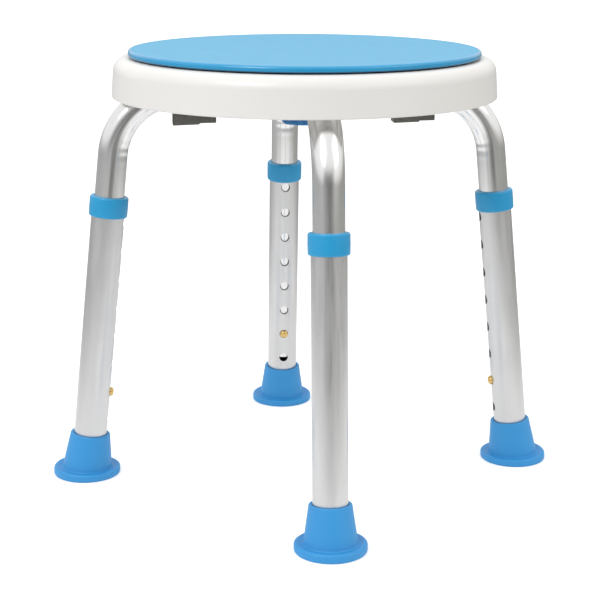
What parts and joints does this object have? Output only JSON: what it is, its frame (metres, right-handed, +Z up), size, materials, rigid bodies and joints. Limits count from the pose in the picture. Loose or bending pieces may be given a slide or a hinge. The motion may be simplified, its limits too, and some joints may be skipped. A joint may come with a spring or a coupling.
{
  "type": "shower stool",
  "caption": "Round bathing stool with a turning disc seat on a moulded shell, crossed tube arches and telescoping legs with snap buttons and rubber feet.",
  "frame": {"origin": "on the floor, in the middle of the four feet", "axes": "+Z up along the axis that the seat turns about; the legs stand towards -Y (front), +X (right), +Y (rear) and -X (left)"},
  "size_m": [0.447, 0.447, 0.3744],
  "materials": {
    "white_plastic": "moulded, satin gloss",
    "blue_plastic": "fine grained top, glossy rim",
    "blue_rubber": "smooth moulded rubber",
    "aluminium": "satin anodised",
    "brass": "bright",
    "steel": "zinc plated",
    "spring_steel": "blued strip",
    "grey_plastic": "moulded, matte",
    "acetal": "natural acetal"
  },
  "bodies": {
    "frame": {"seat_shell": "white_plastic", "swivel_bush": "acetal", "glide_ring": "acetal", "arch_front_rear": "aluminium", "arch_left_right": "aluminium", "centre_bolt": "steel", "button_clip_front": "spring_steel", "button_clip_right": "spring_steel", "button_clip_rear": "spring_steel", "button_clip_left": "spring_steel"},
    "turntable": {"turntable_disc": "blue_plastic", "swivel_washer": "steel", "swivel_screw": "steel"},
    "clamp_washer": {"clamp_washer": "steel"},
    "hand_knob": {"hand_knob": "blue_plastic", "knob_insert": "brass"},
    "lock_lever_right": {"lock_lever_right": "grey_plastic", "lock_shank_right": "steel"},
    "lock_lever_left": {"lock_lever_left": "grey_plastic", "lock_shank_left": "steel"},
    "leg_front": {"leg_tube_front": "aluminium", "collar_front": "blue_plastic", "foot_front": "blue_rubber", "foot_washer_front": "steel"},
    "leg_right": {"leg_tube_right": "aluminium", "collar_right": "blue_plastic", "foot_right": "blue_rubber", "foot_washer_right": "steel"},
    "leg_rear": {"leg_tube_rear": "aluminium", "collar_rear": "blue_plastic", "foot_rear": "blue_rubber", "foot_washer_rear": "steel"},
    "leg_left": {"leg_tube_left": "aluminium", "collar_left": "blue_plastic", "foot_left": "blue_rubber", "foot_washer_left": "steel"},
    "button_front": {"snap_button_front": "brass"},
    "button_right": {"snap_button_right": "brass"},
    "button_rear": {"snap_button_rear": "brass"},
    "button_left": {"snap_button_left": "brass"}
  },
  "joints": [
    {"name": "turntable_spin", "type": "hinge", "parent": "frame", "child": "turntable", "pos_m": [0, 0, 0.3691], "axis": [0, 0, 1], "continuous": true},
    {"name": "knob_drop", "type": "slide", "parent": "frame", "child": "clamp_washer", "axis": [0, 0, -1], "range_m": [0, 0.0038]},
    {"name": "knob_turn", "type": "hinge", "parent": "clamp_washer", "child": "hand_knob", "pos_m": [0, 0, 0.318], "axis": [0, 0, -1], "range_deg": [0, 1080]},
    {"name": "lock_lever_right_turn", "type": "hinge", "parent": "frame", "child": "lock_lever_right", "pos_m": [0.09445, 0, 0.32], "axis": [0, 0, 1], "range_deg": [0, 90]},
    {"name": "lock_lever_left_turn", "type": "hinge", "parent": "frame", "child": "lock_lever_left", "pos_m": [-0.09445, 0, 0.32], "axis": [0, 0, 1], "range_deg": [0, 90]},
    {"name": "leg_front_slide", "type": "slide", "parent": "frame", "child": "leg_front", "axis": [0, -0.1045, -0.9945], "range_m": [-0.0254, 0.1524], "deforming": ["snap_button_front", "button_clip_front"]},
    {"name": "leg_right_slide", "type": "slide", "parent": "frame", "child": "leg_right", "axis": [0.1045, 0, -0.9945], "range_m": [-0.0254, 0.1524], "deforming": ["snap_button_right", "button_clip_right"]},
    {"name": "leg_rear_slide", "type": "slide", "parent": "frame", "child": "leg_rear", "axis": [0, 0.1045, -0.9945], "range_m": [-0.0254, 0.1524], "deforming": ["snap_button_rear", "button_clip_rear"]},
    {"name": "leg_left_slide", "type": "slide", "parent": "frame", "child": "leg_left", "axis": [-0.1045, 0, -0.9945], "range_m": [-0.0254, 0.1524], "deforming": ["snap_button_left", "button_clip_left"]},
    {"name": "button_front_press", "type": "slide", "parent": "frame", "child": "button_front", "axis": [0, -0.9945, 0.1045], "range_m": [0, 0.0046], "stiffness_N_per_m": 1500, "springref_m": -0.002, "deforming": ["button_clip_front"]},
    {"name": "button_right_press", "type": "slide", "parent": "frame", "child": "button_right", "axis": [0.9945, 0, 0.1045], "range_m": [0, 0.0046], "stiffness_N_per_m": 1500, "springref_m": -0.002, "deforming": ["button_clip_right"]},
    {"name": "button_rear_press", "type": "slide", "parent": "frame", "child": "button_rear", "axis": [0, 0.9945, 0.1045], "range_m": [0, 0.0046], "stiffness_N_per_m": 1500, "springref_m": -0.002, "deforming": ["button_clip_rear"]},
    {"name": "button_left_press", "type": "slide", "parent": "frame", "child": "button_left", "axis": [-0.9945, 0, 0.1045], "range_m": [0, 0.0046], "stiffness_N_per_m": 1500, "springref_m": -0.002, "deforming": ["button_clip_left"]}
  ],
  "couplings": [
    {"joint": "knob_drop", "follows": "knob_turn", "m_per_rad": 0.00019894}
  ]
}
